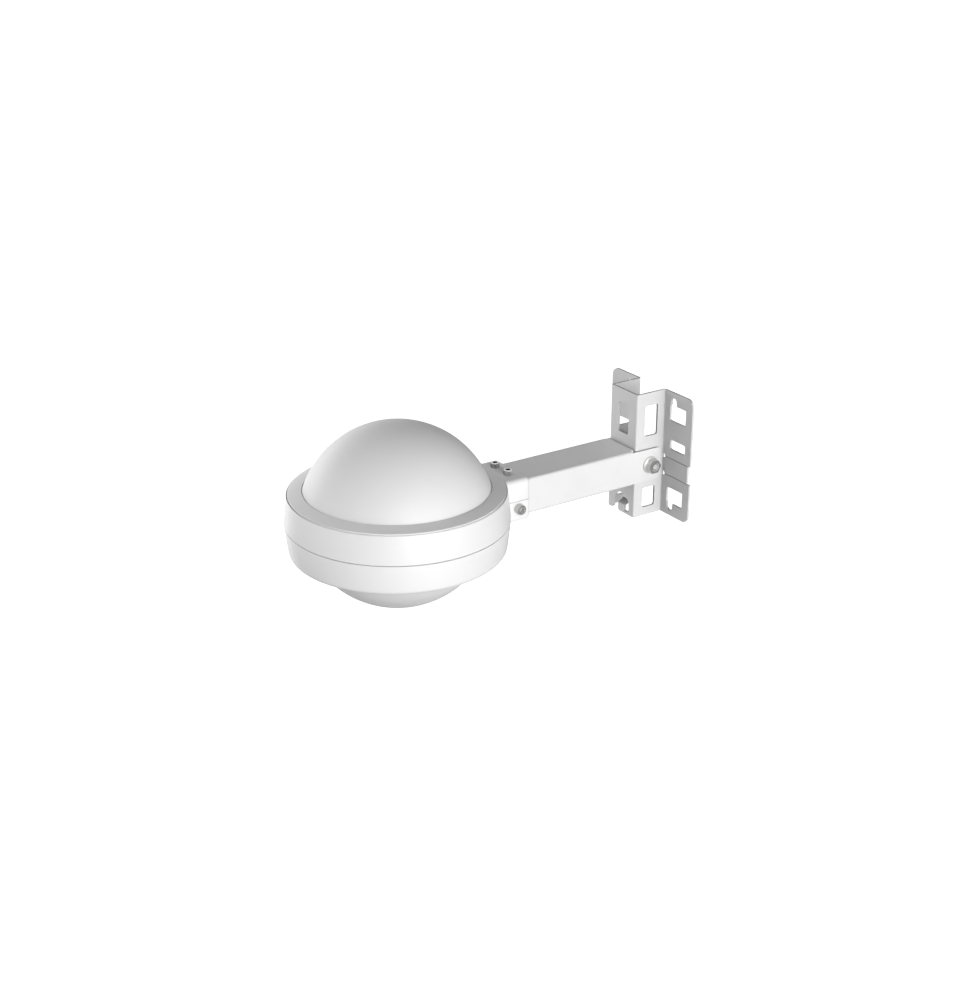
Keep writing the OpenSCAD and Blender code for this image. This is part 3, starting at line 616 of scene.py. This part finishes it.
arm = tube()
for s in (-1, 1):
    x0, x1 = (ARM_HW - ARM_T, ARM_HW) if s > 0 else (-ARM_HW, -ARM_HW + ARM_T)
    ear = prism("ear", rrect(-46.5, ARM_ZC - 16.6, -6.6, ARM_ZC + 16.6, 5.0, 9), "x", x0, x1)
    boolean(arm, ear, "UNION")
notch = [box_mesh("n", s * 22.25 - 2.4, s * 22.25 + 2.4, -41.7, -36.7, ARM_ZC + t * 17.95 - 1.4, ARM_ZC + t * 17.95 + 1.4) for s in (-1, 1) for t in (-1, 1)]
boolean(arm, join("notch", notch))
boolean(arm, cyl("pv", (PIVOT_Y, PIVOT_Z), 4.05, "x", -30, 30, 48))
boolean(arm, join("h", [cyl("a", (s * 11, -182.4), 2.75, "z", 10, 24, 32) for s in (-1, 1)]))
boolean(arm, join("h", [cyl("a", (-182.4, SIDE_Z), 3.25, "x", min(s * 15, s * 30), max(s * 15, s * 30), 32) for s in (-1, 1)]))
soften(arm, 0.28, 2, 40)
give(arm, "arm_paint", "edge")

# ---------------------------------------------------------------- wall bracket
T, CW, CD, WX, ZT, ZB, TX = 2.2, 21.0, 36.7, 63.7, 74.8, -55.3, 60.3
ZC = (ZT + ZB) / 2
ri, ro = 1.1, 1.1 + T


def half_front(s):
    """Front outline of one half, from the wing tip to the channel's front, for side s."""
    pts = [(WX, -T), (CW + ri, -T)] + arc(CW + ri, -T - ri, ri, 90, 180, 6)[1:] + [(CW, -CD + 1.8)] + arc(CW - 1.8, -CD + 1.8, 1.8, 0, -90, 6)[1:]
    return [(s * x, y) for x, y in pts]


def half_back(s):
    pts = [(WX, 0.0), (CW - T + ro, 0.0)] + arc(CW - T + ro, -ro, ro, 90, 180, 8)[1:] + [(CW - T, -CD + T + 0.5)] + arc(CW - T - 0.5, -CD + T + 0.5, 0.5, 0, -90, 3)[1:]
    return [(s * x, y) for x, y in pts]


outline = half_front(1) + half_front(-1)[::-1] + half_back(-1) + half_back(1)[::-1]
br = prism("wall_bracket_shell", outline, "z", ZB, ZT)
boolean(br, prism("clip", rrect(-WX, ZB, WX, ZT, 8.5, 12), "y", -60, 20), "INTERSECT")
cuts = []
for s in (-1, 1):
    for t in (-1, 1):
        # small corner radii of the window
        key = ([(30, 35.4), (52, 35.4)] + arc(52, 36.4, 1.0, -90, 0, 4)[1:] + arc(52, 50.9, 1.0, 0, 90, 4) + [(38.4, 51.9)]
               + arc(34.2, 55.4, 4.2, 0, 180, 20) + [(30, 51.6)] + [(29.3, 51.5), (29, 50.9)] + arc(30, 36.4, 1.0, 180, 270, 4)[:-1])
        cuts.append(prism("k", [(s * (x + 1), ZC + t * z) for x, z in key], "y", -8, 4))
    cuts.append(prism("k", [(s * x, z) for x, z in rrect(32, ZC + 5.5, 54.9, ZC + 15.6, 2.2, 6)], "y", -8, 4))
    # slits round the middle tab, and the bend reliefs beside the channel
    slit = ([(CW + 1.5, -13.5), (80, -13.5), (80, 5.7), (CW + 1.5, 5.7), (CW + 1.5, 5.0)] + arc(TX - 1.5, 3.5, 1.5, 90, 0, 5)
            + arc(TX - 1.5, -11.3, 1.5, 0, -90, 5) + [(CW + 1.5, -12.8)])
    boolean(br, prism("slit", [(s * x, z) for x, z in slit], "y", -8, 4))
    boolean(br, join("rel", [prism("r", [(s * x, z) for x, z in [(CW + 0.1, zz - 2.9)] + arc(CW + 1.4, zz, 2.9, -90, 90, 16) + [(CW + 0.1, zz + 2.9)]],
                                   "y", -4.2, 4) for zz in (5.5, -13.3)]))
boolean(br, join("cuts", cuts))
front = [prism("f", rrect(-8.3, 29.6, 8.3, 61.4, 2, 6), "y", -40, -30),
         cyl("f", (0, 0), 11.0, "y", -40, -30, 64)]
hook = ([(-15.1, -60), (-3.4, -60)] + arc(-2.5, -52.6, 2.6, 250, 180, 5) + [(-5.1, -46.5), (4.8, -46.5), (4.8, -52.4), (12.1, -52.4)]
        + arc(0, -46.4, 12.1, 0, 180, 32) + arc(-15.7, -51.5, 3.6, 0, -80, 6))
front.append(prism("f", [(x + 1, zz) for x, zz in hook], "y", -40, -30))
boolean(br, join("front", front))
side = [prism("f", rrect(-26.1, 29.6, -10.5, 61.6, 2, 6), "x", -30, 30),
        prism("f", rrect(-26.1, -46.6, -10.5, -25.5, 2, 6), "x", -30, 30),
        cyl("f", (PIVOT_Y, PIVOT_Z), 4.05, "x", -30, 30, 48)]
boolean(br, join("side", side))
tab = prism("tab", [(-CD, -49), (-34.6, -49), (-34.6, -47.8), (-28.8, -44.5), (-29.9, -42.6), (-CD, -46.5)], "x", -4.1, 5.8)
boolean(br, tab, "UNION")
soften(br, 0.22, 2, 40)
give(br, "bracket_paint", "edge")


# painted shade: faces that pass the test get the second, darker edge material
def paint_edge_shade(ob, test):
    for p in ob.data.polygons:
        c = p.center / MM
        if test(c, p.normal):
            p.material_index = 1


# painted shade on the bracket: edges facing up or down, and the y-facing edges of the channel's side windows
paint_edge_shade(br, lambda c, n: abs(n.z) > 0.75 or (abs(n.y) > 0.75 and abs(c.x) > 18.2 and abs(c.x) < 21.4 and -34 < c.y < -3.5))
# painted shade on the arm: the ear's up-, down- and rear-facing edges and the tube's end inside the channel
paint_edge_shade(arm, lambda c, n: c.y > -38.9 and (abs(n.z) > 0.75 or n.y > 0.75))
piece(arm, "arm", "arm_paint", "arm_tube")
piece(br, "bracket", "bracket_paint", "wall_bracket")

# ---------------------------------------------------------------- the rest keeps its CAD shape
for name, ob in NODES.items():
    slot = slot_of.get(name)
    if slot in M:
        ob.data.materials.clear()
        ob.data.materials.append(M[slot])

# painted light on the plated parts: lit and shaded copies of the zinc on the turned sides, painted highlights and dark
# reflections on the end faces, painted reflections and painted shade in the sockets
give(top_pair, "zinc_side", "zinc_light", "socket")
for p in top_pair.data.polygons:
    c = p.center / MM
    r = min(math.hypot(c.x - s * 11, c.y + 182.4) for s in (-1, 1))
    # painted shade in the top screws' socket recesses
    if r < 2.35 and c.z > 22.4:
        p.material_index = 2
    # painted highlight on the top screws' end rings
    elif c.z > 26.15 and (p.normal.z > 0.3 or c.z > 26.35):
        p.material_index = 1
# side screws: painted reflection in the socket centres, painted dark reflection on the end faces
give(side_pair, "zinc_hex", "zinc_dark", "zinc_light", "zinc_mid")
for p in side_pair.data.polygons:
    c = p.center / MM
    r = math.hypot(c.y + 182.4, c.z - SIDE_Z)
    if abs(c.x) > 29.5 and r < 2.75:
        p.material_index = 3
    elif abs(c.x) > NECK_HW + 5.9:
        p.material_index = 1
# nut and bolt: painted dark reflection on the end faces, painted reflection on the bolt's end
for ob, x1 in ((nut, 23.75 + 7.9), (bolt, 23.75 + 7.4)):
    give(ob, "zinc_hex", "zinc_dark", "zinc_light", "zinc_mid")
    for p in ob.data.polygons:
        c = p.center / MM
        r = math.hypot(c.y - PIVOT_Y, c.z - PIVOT_Z)
        if abs(c.x) > x1 and r > 2.4:
            p.material_index = 1
        elif ob is bolt and c.x > 30.0:
            p.material_index = 1 if r > 2.7 else 3

# ---------------------------------------------------------------- camera
cam_data = bpy.data.cameras.new("camera")
cam = link(bpy.data.objects.new("camera", cam_data))
fwd = Vector((-0.76710, 0.50697, -0.39312)).normalized()
upv = Vector((-0.3280, 0.2167, 0.9195)).normalized()
right = fwd.cross(upv).normalized()
upv = right.cross(fwd).normalized()
rot = Matrix((right, upv, -fwd)).transposed()
cam.matrix_world = Matrix.Translation(Vector((1.23962, -1.01864, 0.63032))) @ rot.to_4x4()
cam_data.lens = 60.96
cam_data.sensor_width = 36.0
cam_data.sensor_fit = "AUTO"
cam_data.clip_start = 0.05
cam_data.clip_end = 200.0
scene.camera = cam

# ---------------------------------------------------------------- floor and light
fme = bpy.data.meshes.new("floor")
fme.from_pydata([(-60, -60, -1.2), (60, -60, -1.2), (60, 60, -1.2), (-60, 60, -1.2)], [], [(0, 1, 2, 3)])
floor = link(bpy.data.objects.new("floor", fme))
fmat = bpy.data.materials.new("floor_pale")
fmat.use_nodes = True
fb = fmat.node_tree.nodes["Principled BSDF"]
fb.inputs["Base Color"].default_value = (0.85, 0.85, 0.85, 1)
fb.inputs["Roughness"].default_value = 0.9
fb.inputs["Emission Color"].default_value = (1, 1, 1, 1)
fb.inputs["Emission Strength"].default_value = 0.75
fme.materials.append(fmat)
floor.visible_diffuse = False
floor.visible_glossy = False
floor.visible_shadow = False

world = bpy.data.worlds.new("studio")
scene.world = world
world.use_nodes = True
wn = world.node_tree
wn.nodes.clear()
wo = wn.nodes.new("ShaderNodeOutputWorld")
bg = wn.nodes.new("ShaderNodeBackground")
tc = wn.nodes.new("ShaderNodeTexCoord")
# soft boxes around the part: azimuth and height in degrees, how tight, how bright
BOXES = [(0, 38, 5, 0.36), (216, 38, 5, 0.685), (0, 0, 6, 3.55), (-120, 0, 6, 1.70), (180, 0, 6, 2.22), (120, -38, 5, 0.55),
         (0, 0, 60, 7.89), (-14, 0, 60, 1.40), (-14, 18, 60, 5.60), (180, 12, 60, 1.20), (200, 8, 60, 4.69)]
total = None
for k, (az, el, tight, bright) in enumerate(BOXES):
    caz, cel = math.radians(az), math.radians(el)
    dt = wn.nodes.new("ShaderNodeVectorMath"); dt.operation = "DOT_PRODUCT"
    dt.inputs[1].default_value = (math.cos(cel) * math.cos(caz), math.cos(cel) * math.sin(caz), math.sin(cel))
    mx = wn.nodes.new("ShaderNodeMath"); mx.operation = "MAXIMUM"; mx.inputs[1].default_value = 0.0
    pw = wn.nodes.new("ShaderNodeMath"); pw.operation = "POWER"; pw.inputs[1].default_value = tight
    ml = wn.nodes.new("ShaderNodeMath"); ml.operation = "MULTIPLY"; ml.inputs[1].default_value = bright
    for i, nd in enumerate((dt, mx, pw, ml)):
        nd.location = (-900 + 160 * i, 300 - 180 * k)
    wn.links.new(tc.outputs["Generated"], dt.inputs[0])
    wn.links.new(dt.outputs["Value"], mx.inputs[0])
    wn.links.new(mx.outputs[0], pw.inputs[0])
    wn.links.new(pw.outputs[0], ml.inputs[0])
    if total is None:
        total = ml.outputs[0]
    else:
        ad = wn.nodes.new("ShaderNodeMath"); ad.operation = "ADD"
        ad.location = (-200, 300 - 180 * k)
        wn.links.new(total, ad.inputs[0])
        wn.links.new(ml.outputs[0], ad.inputs[1])
        total = ad.outputs[0]
wn.links.new(total, bg.inputs["Strength"])
bg.inputs["Color"].default_value = (1, 1, 1, 1)
wn.links.new(bg.outputs["Background"], wo.inputs["Surface"])

# white backdrop, seen by the camera only
bm = bmesh.new()
bmesh.ops.create_icosphere(bm, subdivisions=4, radius=80.0)
bme = bpy.data.meshes.new("backdrop")
bm.to_mesh(bme)
bm.free()
backdrop = link(bpy.data.objects.new("backdrop", bme))
bmat = bpy.data.materials.new("backdrop_white")
bmat.use_nodes = True
bnt = bmat.node_tree
bnt.nodes.clear()
bo = bnt.nodes.new("ShaderNodeOutputMaterial")
be = bnt.nodes.new("ShaderNodeEmission")
be.inputs["Color"].default_value = (1, 1, 1, 1)
be.inputs["Strength"].default_value = 1.05
bnt.links.new(be.outputs["Emission"], bo.inputs["Surface"])
bme.materials.append(bmat)
for flag in ("visible_diffuse", "visible_glossy", "visible_transmission", "visible_shadow"):
    setattr(backdrop, flag, False)

scene.view_settings.view_transform = "Standard"
scene.view_settings.look = "None"
